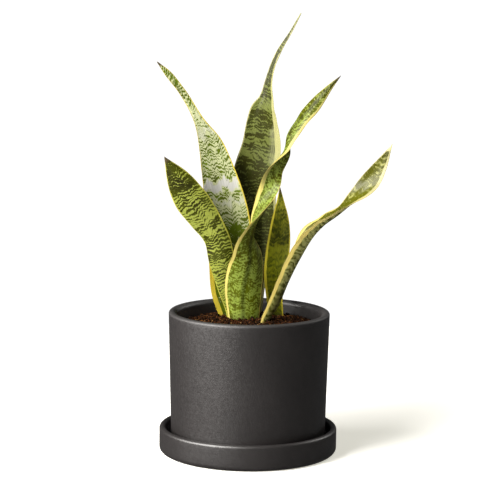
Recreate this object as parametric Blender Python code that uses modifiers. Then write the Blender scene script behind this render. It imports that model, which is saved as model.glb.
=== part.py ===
"""Snake plant in a round ceramic planter that stands on its own saucer.

Frame: metres, +Z up, origin at the centre of the saucer's underside, front of the plant towards -Y.
"""

import math

import bmesh
import bpy
from mathutils import Vector

# Clearance between pieces that touch
GAP = 0.0003

# Saucer: a low dish with a flat underside
SAUCER_HEIGHT = 0.021
SAUCER_WALL = 0.005
SAUCER_FLOOR = 0.005
SAUCER_FOOT_ROUND = 0.004
SAUCER_FILLET = 0.003
CHANNEL_WIDTH = 0.0047  # open ring between the planter's foot and the saucer's wall

# Planter: a slightly tapered cylinder with a soft lip
POT_RADIUS = 0.065  # at the lip
POT_HEIGHT = 0.1097
POT_TAPER = 0.0027  # lip radius less foot radius
POT_WALL = 0.0066
POT_FLOOR = 0.008
LIP_OUTER_ROUND = 0.0022
LIP_INNER_ROUND = 0.0040
POT_FOOT_ROUND = 0.0025
POT_FILLET = 0.006
FOOT_RING_WIDTH = 0.009
FOOT_RECESS = 0.0025
DRAIN_RADIUS = 0.006

# Soil: level at the wall, raised in a low mound round the leaves
HEAD_SPACE = 0.0115  # from the lip down to the soil at the wall
MOUND_HEIGHT = 0.0045
MOUND_SPREAD = 0.026
SOIL_RINGS = 7
PLANT_X = 0.004
PLANT_Y = 0.016

# Rhizome: a creeping stem, curled under the leaves
ROOT_DEPTH = 0.013  # from the soil's level down to the rhizome's top
RHIZOME_RADIUS = 0.0075
RHIZOME_CURL = 0.0165
RHIZOME_START = -62.0
RHIZOME_SWEEP = -272.0

# Leaves: flesh thickness on the midline at the base, and what is left of it at the margins and tip
LEAF_FLESH = 0.0036
MARGIN_SHARE = 0.35
TIP_SHARE = 0.25
BURIED_SHARE = 0.85  # width of the buried end, as a share of the width at the soil
LEAF_ACROSS = 6
LEAF_ALONG = 28

MM = 0.001
TURN_STEPS = 48

# Each blade from the soil up. A station is x, y, height above the soil's level, half width (mm),
# turn of the blade about its own midline (degrees, 0 faces the front) and fold, the channel's
# depth as a share of the half width (positive where the keel faces the front at turn 0).
LEAVES = {
    "leaf_front": [
        (-4.5, 9, 3, 12.5, -5, 0.32),
        (-5, 8, 28.5, 15, 0, 0.33),
        (-3, 5, 52.5, 14.5, 26, 0.36),
        (-4, 2, 70, 12, 58, 0.38),
        (0, 0, 84, 10.5, 88, 0.4),
        (8, -2, 99, 9, 121, 0.4),
        (14.5, -3, 111.5, 8, 163, 0.4),
        (19.5, -4, 125, 8, 218, 0.4),
        (29.8, -4, 140, 8.5, 257, 0.4),
        (32.5, -4, 152.5, 8.6, 293, 0.36),
        (39.5, -3, 164.5, 7.6, 305, 0.3),
        (50, -2, 178, 6, 329, 0.25),
        (62, 0, 192.5, 2.4, 346, 0.2),
        (70, 1, 201, 0.3, 354, 0.1),
    ],
    "leaf_left": [
        (-9.5, 16, 6, 9, 0, 0.26),
        (-16, 13, 28.5, 10, 0, 0.25),
        (-22.5, 10, 50.5, 10.8, -5, 0.23),
        (-26.5, 8, 68, 11, -14, 0.21),
        (-36.5, 5, 85, 13, -9, 0.18),
        (-48.5, 2, 102, 13.8, -6, 0.16),
        (-58.3, -1, 118.5, 9.4, 0, 0.14),
        (-68.6, -3, 135, 0.6, 4, 0.12),
    ],
    "leaf_tall_left": [
        (-13.5, 24, 4, 11.7, 0, -0.3),
        (-17, 24, 24, 14.5, 0, -0.28),
        (-16.5, 24, 47, 17, 0, -0.26),
        (-17.5, 22, 77, 18, -3, -0.24),
        (-21.5, 21, 101, 16.6, -7, -0.22),
        (-26.5, 19, 122.5, 13.7, -8, -0.2),
        (-33, 16, 145, 9.8, -6, -0.18),
        (-41.5, 13, 162.5, 4.6, -8, -0.16),
        (-56.5, 10, 188, 2.9, -6, -0.14),
        (-67.3, 8, 201.5, 2.6, -2, -0.12),
        (-75.2, 7, 210, 0.5, 0, -0.1),
    ],
    "leaf_tallest": [
        (2, 33, 3, 8.3, 0, -0.3),
        (2, 34, 28, 11, 0, -0.28),
        (3, 34, 57, 14.2, 0, -0.26),
        (3.5, 33, 87, 17, -3, -0.25),
        (3, 31, 117, 18, -10, -0.24),
        (8.3, 29, 142, 16.8, -20, -0.22),
        (8.6, 27, 163, 13.2, -22, -0.2),
        (9.2, 26, 171, 11.4, -26, -0.2),
        (11.5, 25, 180, 7.4, -33, -0.2),
        (13.2, 24, 194, 4.4, -45, -0.2),
        (19.8, 22, 216, 2.7, -50, -0.18),
        (31.2, 19, 236, 1.3, -45, -0.15),
        (38.2, 17, 249.5, 0.5, -40, -0.1),
    ],
    "leaf_back": [
        (22, 26, 3, 5.9, 0, -0.25),
        (20.5, 27, 18.5, 6.8, 0, -0.24),
        (20.5, 27, 34, 8.7, 0, -0.23),
        (22.5, 27, 54, 9.7, 0, -0.22),
        (24, 26, 70, 8.8, 0, -0.2),
        (24.5, 26, 84.5, 6.6, 0, -0.18),
        (24.3, 25, 97, 3.3, 0, -0.15),
        (23.8, 24, 108.5, 0.4, 0, -0.1),
    ],
    "leaf_right": [
        (11.5, 0, 4, 5.9, 70, 0.55),
        (18, 0, 19, 8, 69, 0.6),
        (24, 0, 37, 8.8, 76, 0.7),
        (31.8, -1, 57.5, 9.2, 78, 0.86),
        (41.6, -3, 76.6, 10, 87, 0.88),
        (54, -5, 87, 9.2, 80, 0.66),
        (69, -7, 95.5, 7.9, 86, 0.42),
        (80.8, -8, 105.5, 7.8, 114, 0.3),
        (94, -10, 117.8, 8.6, 143, 0.22),
        (102.3, -12, 131, 5.6, 160, 0.2),
        (111, -14, 148.4, 0.3, 157, 0.1),
    ],
}

SAUCER_COLOUR = (0.032, 0.030, 0.029)
SOIL_COLOUR = (0.070, 0.032, 0.018)
RHIZOME_COLOUR = (0.45, 0.36, 0.16)
LEAF_COLOUR = (0.11, 0.17, 0.035)

POT_BOTTOM = SAUCER_FLOOR + GAP
POT_TOP = POT_BOTTOM + POT_HEIGHT
POT_FOOT_RADIUS = POT_RADIUS - POT_TAPER
SAUCER_RADIUS = POT_FOOT_RADIUS + CHANNEL_WIDTH + SAUCER_WALL
SOIL_LEVEL = POT_TOP - HEAD_SPACE
LEAF_BOTTOM = SOIL_LEVEL - ROOT_DEPTH


def collection(name):
    """A new collection in the scene."""
    made = bpy.data.collections.new(name)
    bpy.context.scene.collection.children.link(made)
    return made


def material(name, colour, roughness):
    """A plain Principled finish."""
    made = bpy.data.materials.new(name)
    made.use_nodes = True
    shader = made.node_tree.nodes["Principled BSDF"]
    shader.inputs["Base Color"].default_value = (*colour, 1.0)
    shader.inputs["Roughness"].default_value = roughness
    shader.inputs["Metallic"].default_value = 0.0
    return made


def new_object(name, mesh, group, finish=None):
    """An object for this mesh, in this collection."""
    made = bpy.data.objects.new(name, mesh)
    group.objects.link(made)
    if finish:
        mesh.materials.append(finish)
    return made


def arc(centre_r, centre_z, radius, start, end, steps):
    """Points (r, z) of an arc, from one angle to another in degrees."""
    points = []
    for i in range(steps + 1):
        angle = math.radians(start + (end - start) * i / steps)
        points.append((centre_r + radius * math.cos(angle), centre_z + radius * math.sin(angle)))
    return points


def turned(name, profile, closed, group, finish):
    """A shape turned about Z: the profile (r, z) runs down its outer side."""
    mesh = bpy.data.meshes.new(name)
    count = len(profile)
    edges = [(i, i + 1) for i in range(count - 1)]
    if closed:
        edges.append((count - 1, 0))
    mesh.from_pydata([(r, 0.0, z) for r, z in profile], edges, [])
    made = new_object(name, mesh, group, finish)
    screw = made.modifiers.new("turn", "SCREW")
    screw.axis = "Z"
    screw.steps = TURN_STEPS
    screw.render_steps = TURN_STEPS
    screw.use_merge_vertices = True
    screw.merge_threshold = 0.00001
    screw.use_smooth_shade = True
    return made


def baked(source):
    """The mesh of an object with its modifiers applied. The object is removed."""
    graph = bpy.context.evaluated_depsgraph_get()
    graph.update()
    mesh = bpy.data.meshes.new_from_object(source.evaluated_get(graph))
    mesh.name = source.name
    bpy.data.objects.remove(source)
    return mesh


def cut(target, cutter):
    """Takes the cutter out of the target."""
    cutter.hide_render = True
    cutter.display_type = "WIRE"
    boolean = target.modifiers.new("cut " + cutter.name, "BOOLEAN")
    boolean.operation = "DIFFERENCE"
    boolean.solver = "EXACT"
    boolean.object = cutter


def pot_radius_at(z):
    """Outer radius of the planter at this height."""
    return POT_FOOT_RADIUS + POT_TAPER * (z - POT_BOTTOM) / POT_HEIGHT


def bore_radius_at(z):
    """Inner radius of the planter at this height."""
    return pot_radius_at(z) - POT_WALL


def saucer_profile():
    """From the middle of the dish over the wall and back under the foot."""
    inner = SAUCER_RADIUS - SAUCER_WALL
    lip = SAUCER_WALL / 2
    profile = [(0.0, SAUCER_FLOOR)]
    profile += arc(inner - SAUCER_FILLET, SAUCER_FLOOR + SAUCER_FILLET, SAUCER_FILLET, -90, 0, 4)
    profile += arc(inner + lip, SAUCER_HEIGHT - lip, lip, 180, 0, 10)
    foot = SAUCER_FOOT_ROUND
    profile += arc(SAUCER_RADIUS - foot, foot, foot, 0, -90, 5)
    profile.append((0.0, 0.0))
    return profile


def pot_profile():
    """Down the outer wall, round the foot ring, through the drain and up the inner wall."""
    foot = POT_FOOT_ROUND
    ring = POT_FOOT_RADIUS - FOOT_RING_WIDTH
    floor = POT_BOTTOM + POT_FLOOR
    recess = POT_BOTTOM + FOOT_RECESS
    profile = arc(POT_RADIUS - LIP_OUTER_ROUND, POT_TOP - LIP_OUTER_ROUND, LIP_OUTER_ROUND, 90, 0, 5)
    profile += arc(POT_FOOT_RADIUS - foot, POT_BOTTOM + foot, foot, 0, -90, 4)
    profile += [(ring, POT_BOTTOM), (ring - FOOT_RECESS, recess)]
    profile += [(DRAIN_RADIUS, recess), (DRAIN_RADIUS, floor)]
    corner = bore_radius_at(floor) - POT_FILLET
    profile += arc(corner, floor + POT_FILLET, POT_FILLET, -90, 0, 5)
    lip = LIP_INNER_ROUND
    profile += arc(bore_radius_at(POT_TOP) + lip, POT_TOP - lip, lip, 180, 95, 6)
    return profile


def soil_profile():
    """From the middle of the surface to the wall and down to the floor, a clearance inside the bore."""
    top_radius = bore_radius_at(SOIL_LEVEL) - GAP
    profile = [(top_radius * i / SOIL_RINGS, SOIL_LEVEL) for i in range(SOIL_RINGS + 1)]
    floor = POT_BOTTOM + POT_FLOOR
    corner = bore_radius_at(floor) - POT_FILLET
    profile += arc(corner, floor + POT_FILLET, POT_FILLET - GAP, 0, -90, 5)
    profile.append((0.0, floor + GAP))
    return profile


def mound(x, y):
    """Height of the mound above the soil's level."""
    reach = (x - PLANT_X) ** 2 + (y - PLANT_Y) ** 2
    wall = bore_radius_at(SOIL_LEVEL) - GAP
    edge = 1 - min(1.0, (x * x + y * y) / wall**2) ** 4
    return MOUND_HEIGHT * edge * math.exp(-reach / (2 * MOUND_SPREAD**2))


def spline(stations, count):
    """Stations read evenly along a smooth curve through all of them."""
    places = [0.0]
    for a, b in zip(stations, stations[1:]):
        places.append(places[-1] + math.dist(a[:3], b[:3]))
    slopes = []
    last = len(stations) - 1
    for i, here in enumerate(stations):
        if i in (0, last):
            a, b = (0, 1) if i == 0 else (last - 1, last)
            span = places[b] - places[a]
            slopes.append([(q - p) / span for p, q in zip(stations[a], stations[b])])
            continue
        before = places[i] - places[i - 1]
        after = places[i + 1] - places[i]
        row = []
        for p, q, r in zip(stations[i - 1], here, stations[i + 1]):
            row.append(((q - p) / before * after + (r - q) / after * before) / (before + after))
        slopes.append(row)
    read = []
    i = 0
    for k in range(count):
        place = places[-1] * k / (count - 1)
        while i < last - 1 and place > places[i + 1]:
            i += 1
        span = places[i + 1] - places[i]
        u = (place - places[i]) / span
        row = []
        for p, q, m, n in zip(stations[i], stations[i + 1], slopes[i], slopes[i + 1]):
            value = (2 * u**3 - 3 * u**2 + 1) * p + (3 * u**2 - 2 * u**3) * q
            row.append(value + span * ((u**3 - 2 * u**2 + u) * m + (u**3 - u**2) * n))
        read.append(row)
    return read


def blade_stations(rows, bottom):
    """A leaf's stations in metres, with its buried end added straight below the first."""
    placed = []
    for x, y, height, half, turn, fold in rows:
        placed.append((x * MM, y * MM, SOIL_LEVEL + height * MM, half * MM, turn, fold))
    x, y, _, half, turn, fold = placed[0]
    return [(x, y, bottom, half * BURIED_SHARE, turn, fold)] + placed


def blade_frames(stations, count):
    """Midline, width direction and half width vector, channel vector for each step of a blade."""
    read = spline(stations, count)
    points = [Vector(row[:3]) for row in read]
    frames = []
    for i, row in enumerate(read):
        along = (points[min(i + 1, count - 1)] - points[max(i - 1, 0)]).normalized()
        side = Vector((1.0, 0.0, 0.0))
        side = (side - along * side.dot(along)).normalized()
        depth = along.cross(side)
        turn = math.radians(row[4])
        width = side * math.cos(turn) + depth * math.sin(turn)
        keel = along.cross(width)
        frames.append((points[i], width * row[3], keel * (row[3] * row[5])))
    return frames


def blade(name, rows, clearance, group, finish):
    """One leaf: a folded and turned sheet with a fleshy thickness, thinner at its margins and tip.

    A clearance makes it that much bigger all round, for the pocket that it stands in.
    """
    frames = blade_frames(blade_stations(rows, LEAF_BOTTOM - clearance), LEAF_ALONG + 1)
    flesh = LEAF_FLESH + 2 * clearance
    mesh = bpy.data.meshes.new(name)
    sheet = bmesh.new()
    bmesh.ops.create_grid(sheet, x_segments=LEAF_ACROSS, y_segments=LEAF_ALONG, size=1.0)
    places = {}
    for vert in sheet.verts:
        across = vert.co.x
        step = round((vert.co.y + 1) / 2 * LEAF_ALONG)
        middle, width, keel = frames[step]
        half = width.length
        places[vert.index] = (across, step / LEAF_ALONG)
        vert.co = middle + width * (across * (half + clearance) / half) - keel * (1 - across * across)
    sheet.verts.index_update()
    sheet.to_mesh(mesh)
    sheet.free()
    mesh.shade_smooth()
    made = new_object(name, mesh, group, finish)
    fleshy = made.vertex_groups.new(name="flesh")
    for index, (across, up) in places.items():
        share = (1 - (1 - MARGIN_SHARE) * across**2) * (1 - (1 - TIP_SHARE) * up)
        fleshy.add([index], (LEAF_FLESH * share + 2 * clearance) / flesh, "REPLACE")
    solid = made.modifiers.new("flesh", "SOLIDIFY")
    solid.thickness = flesh
    solid.offset = 0.0
    solid.vertex_group = "flesh"
    solid.thickness_vertex_group = 0.0
    return made


def rhizome_tube(name, radius, overrun, group, finish):
    """The curled stem as a closed mesh. Overrun lengthens it at both ends."""
    curve = bpy.data.curves.new(name, "CURVE")
    curve.dimensions = "3D"
    curve.bevel_depth = radius
    curve.bevel_resolution = 3
    curve.use_fill_caps = True
    extra = math.degrees(overrun / RHIZOME_CURL)
    start = RHIZOME_START + extra
    sweep = RHIZOME_SWEEP - 2 * extra
    steps = 20
    line = curve.splines.new("POLY")
    line.points.add(steps)
    for i, point in enumerate(line.points):
        angle = math.radians(start + sweep * i / steps)
        x = PLANT_X + RHIZOME_CURL * math.cos(angle)
        y = PLANT_Y + RHIZOME_CURL * math.sin(angle)
        point.co = (x, y, LEAF_BOTTOM - GAP - RHIZOME_RADIUS, 1.0)
    tube = bpy.data.objects.new(name, curve)
    group.objects.link(tube)
    mesh = baked(tube)
    bpy.data.curves.remove(curve)
    shell = bmesh.new()
    shell.from_mesh(mesh)
    bmesh.ops.remove_doubles(shell, verts=shell.verts, dist=0.00001)
    bmesh.ops.recalc_face_normals(shell, faces=shell.faces)
    shell.to_mesh(mesh)
    shell.free()
    mesh.shade_smooth()
    return new_object(name, mesh, group, finish)


def raise_mound(mesh):
    """Lifts the soil's surface into its mound."""
    for vert in mesh.vertices:
        if vert.co.z > SOIL_LEVEL - 0.00001:
            vert.co.z += mound(vert.co.x, vert.co.y)


def clear_scene():
    """Removes whatever the scene starts with."""
    for old in list(bpy.data.objects):
        bpy.data.objects.remove(old)


clear_scene()
plant = collection("potted_snake_plant")
cutters = collection("cutters")
stoneware = material("charcoal_stoneware", SAUCER_COLOUR, 0.55)
loam = material("potting_mix", SOIL_COLOUR, 0.95)
stem = material("rhizome_flesh", RHIZOME_COLOUR, 0.6)
leaf_skin = material("leaf_skin", LEAF_COLOUR, 0.4)

turned("saucer", saucer_profile(), False, plant, stoneware)
turned("pot", pot_profile(), True, plant, stoneware)

soil_mesh = baked(turned("soil", soil_profile(), False, plant, loam))
raise_mound(soil_mesh)
soil = new_object("soil", soil_mesh, plant)

rhizome_tube("rhizome", RHIZOME_RADIUS, 0.0, plant, stem)
cut(soil, rhizome_tube("rhizome_pocket", RHIZOME_RADIUS + GAP, GAP, cutters, None))
for leaf_name, leaf_rows in LEAVES.items():
    blade(leaf_name, leaf_rows, 0.0, plant, leaf_skin)
    cut(soil, blade(leaf_name + "_pocket", leaf_rows, GAP, cutters, None))
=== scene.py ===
import math

import bmesh
import bpy
import numpy as np
from mathutils import Matrix, Vector, noise


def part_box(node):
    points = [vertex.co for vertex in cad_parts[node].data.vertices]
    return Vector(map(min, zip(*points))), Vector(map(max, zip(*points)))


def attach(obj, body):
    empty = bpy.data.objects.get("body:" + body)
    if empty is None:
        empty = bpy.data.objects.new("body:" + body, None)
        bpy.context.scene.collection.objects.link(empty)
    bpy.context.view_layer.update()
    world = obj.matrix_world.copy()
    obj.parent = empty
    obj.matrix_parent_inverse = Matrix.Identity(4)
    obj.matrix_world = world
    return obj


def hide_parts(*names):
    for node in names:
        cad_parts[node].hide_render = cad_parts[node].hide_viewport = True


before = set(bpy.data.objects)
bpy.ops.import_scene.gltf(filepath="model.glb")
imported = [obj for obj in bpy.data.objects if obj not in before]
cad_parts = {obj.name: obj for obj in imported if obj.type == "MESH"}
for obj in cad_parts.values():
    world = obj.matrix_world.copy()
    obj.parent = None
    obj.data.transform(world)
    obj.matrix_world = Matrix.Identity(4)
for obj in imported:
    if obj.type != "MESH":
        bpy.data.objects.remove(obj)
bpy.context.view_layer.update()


# ---- Camera: a long lens a little above the leaves' tips, looking slightly down on the planter.
# It is tilted a little about its own axis, as a hand-held frame is.
CAMERA_PLACE = (0.0, -1.5, 0.385)
CAMERA_DOWN = 8.36
CAMERA_TILT = 0.68
CAMERA_LENS = 135.9
CAMERA_SENSOR = 36.0


def in_scene(name, data):
    """A new object in the scene that holds this lens, mesh or lamp."""
    made = bpy.data.objects.new(name, data)
    bpy.context.scene.collection.objects.link(made)
    return made


lens = bpy.data.cameras.new("camera")
lens.lens = CAMERA_LENS
lens.sensor_width = CAMERA_SENSOR
camera = in_scene("camera", lens)
down = Matrix.Rotation(math.radians(90 - CAMERA_DOWN), 4, "X")
aim = down @ Matrix.Rotation(math.radians(CAMERA_TILT), 4, "Z")
camera.matrix_world = Matrix.Translation(CAMERA_PLACE) @ aim
bpy.context.scene.camera = camera


# ---- Saucer: a shallow dish pressed from dark stoneware, with one soft round lip, fired with no glaze.
# It stands on its flat underside, and the planter stands loose in it.
MM = 0.001
TURN_STEPS = 192
STONEWARE = (0.0142, 0.0124, 0.0122)
STONEWARE_SHINE = 0.89
WHEEL_DRAG = (60.0, 60.0, 1100.0)
SWAY_TWIST = 9.0
SWAY_FULL = 50 * MM
ON_AXIS = 1e-6
SAUCER_WALL = 5 * MM
SAUCER_FLOOR = 5 * MM
SAUCER_INNER_ROUND = 3 * MM
SAUCER_FOOT_ROUND = 4 * MM
SAUCER_WOBBLE = 0.12 * MM
SAUCER_RUBBED = 1.5 * MM

saucer_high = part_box("saucer")[1]
saucer_radius = saucer_high.x


def arc(centre_r, centre_z, radius, start, end, steps):
    """Points (r, z) of an arc, from one angle to another in degrees."""
    angles = np.radians(np.linspace(start, end, steps + 1))
    return [(centre_r + radius * math.cos(a), centre_z + radius * math.sin(a)) for a in angles]


def filled_in(profile, step):
    """The profile with extra points, so that no stretch of it is longer than the step."""
    points = [profile[0]]
    for (r, z), (next_r, next_z) in zip(profile, profile[1:]):
        count = max(1, math.ceil(math.dist((r, z), (next_r, next_z)) / step))
        for i in range(1, count + 1):
            points.append((r + (next_r - r) * i / count, z + (next_z - z) * i / count))
    return points


def thrown(name, profile, closed, wobble, seed):
    """A round pottery piece turned from its profile, with the faint unevenness of a wheel and a kiln."""
    rng = np.random.default_rng(seed)
    sways = [(k, rng.uniform(0, 2 * math.pi), rng.uniform(0.4, 1.0) / k) for k in (2, 3, 5)]
    shape = bmesh.new()
    grid = []
    for r, z in profile:
        if r < ON_AXIS:
            grid.append([shape.verts.new((0, 0, z))] * TURN_STEPS)
            continue
        row = []
        for i in range(TURN_STEPS):
            a = 2 * math.pi * i / TURN_STEPS
            sway = sum(amp * math.sin(k * a + phase + SWAY_TWIST * z) for k, phase, amp in sways)
            reach = r + wobble * sway * min(1.0, r / SWAY_FULL)
            row.append(shape.verts.new((reach * math.cos(a), reach * math.sin(a), z)))
        grid.append(row)
    pairs = list(zip(grid, grid[1:]))
    if closed:
        pairs.append((grid[-1], grid[0]))
    for upper, lower in pairs:
        for i in range(TURN_STEPS):
            j = (i + 1) % TURN_STEPS
            corners = [upper[i], lower[i], lower[j], upper[j]]
            shape.faces.new(list(dict.fromkeys(corners)))
    mesh = bpy.data.meshes.new(name)
    shape.to_mesh(mesh)
    shape.free()
    mesh.shade_smooth()
    return in_scene(name, mesh)


def node(tree, kind, links=(), **settings):
    """A shader node with its settings and its linked or plain inputs."""
    made = tree.nodes.new(kind)
    for key, value in settings.items():
        setattr(made, key, value)
    for key, value in dict(links).items():
        if isinstance(value, bpy.types.NodeSocket):
            tree.links.new(value, made.inputs[key])
        else:
            made.inputs[key].default_value = value
    return made


def maths(tree, operation, *values):
    """A sum of one, two or three values."""
    return node(tree, "ShaderNodeMath", dict(enumerate(values)), operation=operation).outputs[0]


def ranged(tree, value, low, high, start=0.0, end=1.0, smooth=False):
    """A value moved from one range into another, and held at the ends."""
    ends = {0: value, 1: low, 2: high, 3: start, 4: end}
    kind = "SMOOTHSTEP" if smooth else "LINEAR"
    return node(tree, "ShaderNodeMapRange", ends, interpolation_type=kind).outputs[0]


def cloudy(tree, place, scale, detail, rough=0.5):
    """Soft random patches, about 0.5."""
    look = {"Vector": place, "Scale": scale, "Detail": detail, "Roughness": rough}
    return node(tree, "ShaderNodeTexNoise", look).outputs["Fac"]


def blended(tree, share, first, second):
    """One colour giving way to another, each a socket or plain red, green and blue."""
    first, second = ((*c, 1.0) if isinstance(c, tuple) else c for c in (first, second))
    return node(tree, "ShaderNodeMix", {0: share, 6: first, 7: second}, data_type="RGBA").outputs[2]


def scaled(tree, colour, by):
    """A colour made lighter or darker."""
    return node(tree, "ShaderNodeVectorMath", {0: colour, "Scale": by}, operation="SCALE").outputs[0]


def fresh_material(name):
    """A new material, its node tree and its shader."""
    made = bpy.data.materials.new(name)
    made.use_nodes = True
    return made, made.node_tree, made.node_tree.nodes["Principled BSDF"]


def surfaced(tree, shader, colour, rough, height, strength, depth):
    """Feeds a shader its colour, its roughness and a bump."""
    bump = node(tree, "ShaderNodeBump", {"Strength": strength, "Distance": depth, "Height": height})
    tree.links.new(colour, shader.inputs["Base Color"])
    tree.links.new(rough, shader.inputs["Roughness"])
    tree.links.new(bump.outputs["Normal"], shader.inputs["Normal"])


def shader_group(name, inputs, outputs):
    """A new shader group with named sockets, and its ends. Inputs and outputs say each socket's kind."""
    group = bpy.data.node_groups.new(name, "ShaderNodeTree")
    for sockets, way in ((inputs, "INPUT"), (outputs, "OUTPUT")):
        for key, kind in sockets.items():
            group.interface.new_socket(name=key, in_out=way, socket_type=kind)
    return group, node(group, "NodeGroupInput").outputs, node(group, "NodeGroupOutput").inputs


def clay_grain():
    """A shader group: fired clay's colour and speckle, its roughness, and the height of dimples and grit."""
    kinds = {"Color": "NodeSocketColor", "Roughness": "NodeSocketFloat", "Height": "NodeSocketFloat"}
    group, enter, leave = shader_group("clay_grain", {"Clay": "NodeSocketColor"}, kinds)
    place = node(group, "ShaderNodeTexCoord").outputs["Object"]
    cloud = cloudy(group, place, 26.0, 3.0)
    grit = cloudy(group, place, 1500.0, 4.0, 0.7)
    dimples = cloudy(group, place, 420.0, 3.0, 0.6)
    specks = node(group, "ShaderNodeTexVoronoi", {"Vector": place, "Scale": 620.0}).outputs["Distance"]
    pale = ranged(group, specks, 0.17, 0.08, 0.0, 0.6)
    tint = ranged(group, cloud, 0.3, 0.7, 0.86, 1.14)
    dust = ranged(group, grit, 0.3, 0.7, 0.8, 1.2)
    toned = scaled(group, enter["Clay"], maths(group, "MULTIPLY", tint, dust))
    shade = blended(group, pale, toned, scaled(group, enter["Clay"], 2.1))
    flat = node(group, "ShaderNodeVectorMath", {0: place, 1: WHEEL_DRAG}, operation="MULTIPLY").outputs[0]
    ridged = maths(group, "MULTIPLY_ADD", cloudy(group, flat, 1.0, 2.0), 0.6, grit)
    group.links.new(shade, leave["Color"])
    group.links.new(ranged(group, dimples, 0.3, 0.7, 0.34, 0.44), leave["Roughness"])
    group.links.new(maths(group, "MULTIPLY_ADD", dimples, 0.9, ridged), leave["Height"])
    return group


CLAY_GRAIN = clay_grain()


def stoneware(name, rubbed, matt):
    """Unglazed dark stoneware: satin, faintly dimpled, gritty, and rubbed matt above a height."""
    made, tree, shader = fresh_material(name)
    grain = node(tree, "ShaderNodeGroup", node_tree=CLAY_GRAIN)
    grain.inputs["Clay"].default_value = (*STONEWARE, 1.0)
    place = node(tree, "ShaderNodeTexCoord").outputs["Object"]
    height = node(tree, "ShaderNodeSeparateXYZ", {0: place}).outputs[2]
    worn = ranged(tree, height, rubbed - MM, rubbed + MM, 0.0, matt)
    rough = maths(tree, "ADD", grain.outputs["Roughness"], worn)
    surfaced(tree, shader, grain.outputs["Color"], rough, grain.outputs["Height"], 0.45, 0.15 * MM)
    shader.inputs["Specular IOR Level"].default_value = STONEWARE_SHINE
    return made


saucer_inner = saucer_radius - SAUCER_WALL - SAUCER_INNER_ROUND
saucer_foot = saucer_radius - SAUCER_FOOT_ROUND
lip = SAUCER_WALL / 2
profile = [(0.0, SAUCER_FLOOR)]
profile += arc(saucer_inner, SAUCER_FLOOR + SAUCER_INNER_ROUND, SAUCER_INNER_ROUND, -90, 0, 6)
profile += arc(saucer_radius - lip, saucer_high.z - lip, lip, 180, 0, 20)
profile += arc(saucer_foot, SAUCER_FOOT_ROUND, SAUCER_FOOT_ROUND, 0, -90, 8)
profile.append((0.0, 0.0))
saucer = thrown("saucer_dish", filled_in(profile, 5 * MM), closed=False, wobble=SAUCER_WOBBLE, seed=3)
saucer.data.materials.append(stoneware("saucer_stoneware", saucer_high.z - SAUCER_RUBBED, matt=0.04))
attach(saucer, "root")
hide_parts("saucer")


# ---- Planter: a thick-walled round pot of the same stoneware, a little narrower at its foot.
# Its lip is soft. A low foot ring carries it on the saucer's floor, and a hole in its floor lets water out.
POT_TAPER = 2.7 * MM
POT_WALL = 6.6 * MM
POT_FLOOR = 8 * MM
POT_INNER_ROUND = 6 * MM
POT_WOBBLE = 0.15 * MM
POT_RUBBED = 2 * MM
LIP_OUTER_ROUND = 2.2 * MM
LIP_INNER_ROUND = 4.0 * MM
FOOT_ROUND = 2.5 * MM
FOOT_RING = 9 * MM
FOOT_RECESS = 2.5 * MM
DRAIN_RADIUS = 6 * MM
DRAIN_ROUND = 1 * MM

pot_low, pot_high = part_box("pot")
pot_radius, pot_bottom, pot_top = pot_high.x, pot_low.z, pot_high.z
foot_radius = pot_radius - POT_TAPER


def bore_at(z):
    """Inner radius of the planter at this height."""
    return foot_radius + POT_TAPER * (z - pot_bottom) / (pot_top - pot_bottom) - POT_WALL


ring_in = foot_radius - FOOT_RING
floor_top = pot_bottom + POT_FLOOR
floor_edge = bore_at(floor_top) - POT_INNER_ROUND
drain = DRAIN_RADIUS + DRAIN_ROUND
lip_inner = bore_at(pot_top) + LIP_INNER_ROUND
profile = arc(pot_radius - LIP_OUTER_ROUND, pot_top - LIP_OUTER_ROUND, LIP_OUTER_ROUND, 90, 0, 10)
profile += arc(foot_radius - FOOT_ROUND, pot_bottom + FOOT_ROUND, FOOT_ROUND, 0, -90, 8)
profile += [(ring_in, pot_bottom), (ring_in - FOOT_RECESS, pot_bottom + FOOT_RECESS)]
profile += arc(drain, pot_bottom + FOOT_RECESS + DRAIN_ROUND, DRAIN_ROUND, -90, -180, 4)
profile += arc(drain, floor_top - DRAIN_ROUND, DRAIN_ROUND, 180, 90, 4)
profile += arc(floor_edge, floor_top + POT_INNER_ROUND, POT_INNER_ROUND, -90, 0, 8)
profile += arc(lip_inner, pot_top - LIP_INNER_ROUND, LIP_INNER_ROUND, 180, 95, 12)
pot = thrown("planter", filled_in(profile, 4 * MM), closed=True, wobble=POT_WOBBLE, seed=8)
pot.data.materials.append(stoneware("planter_stoneware", pot_top - POT_RUBBED, matt=0.24))
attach(pot, "root")
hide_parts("pot")


# ---- Potting mix: coir and composted bark, heaped a little round the plant and watered down level.
# Bark crumbs, coir fibres and a few pale grains of pumice lie loose on its top.
HEAD_SPACE = 11.5 * MM
MOUND_HEIGHT = 4.5 * MM
MOUND_SPREAD = 26 * MM
PLANT_X = 4 * MM
PLANT_Y = 16 * MM
SOIL_GAP = 0.3 * MM
BED_RINGS = 84
BED_STEPS = 300
TONE_TOP = 1.5
TONES = (
    (0.30, (0.004, 0.0011, 0.0001)),
    (0.62, (0.0105, 0.0042, 0.0006)),
    (0.95, (0.050, 0.021, 0.0045)),
    (1.35, (0.25, 0.145, 0.050)),
)
REDDER = (1.35, 0.82, 0.60)
SOIL_SHINE = 0.1
BED_DROP = 0.8 * MM
LUMP_SIZE = 3.2 * MM
GRAIN_SIZE = 1.1 * MM
PATCH_SIZE = 9 * MM
FIBRE_STEPS = 9

SOIL_LEVEL = pot_top - HEAD_SPACE
bed_radius = bore_at(SOIL_LEVEL) - SOIL_GAP


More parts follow.
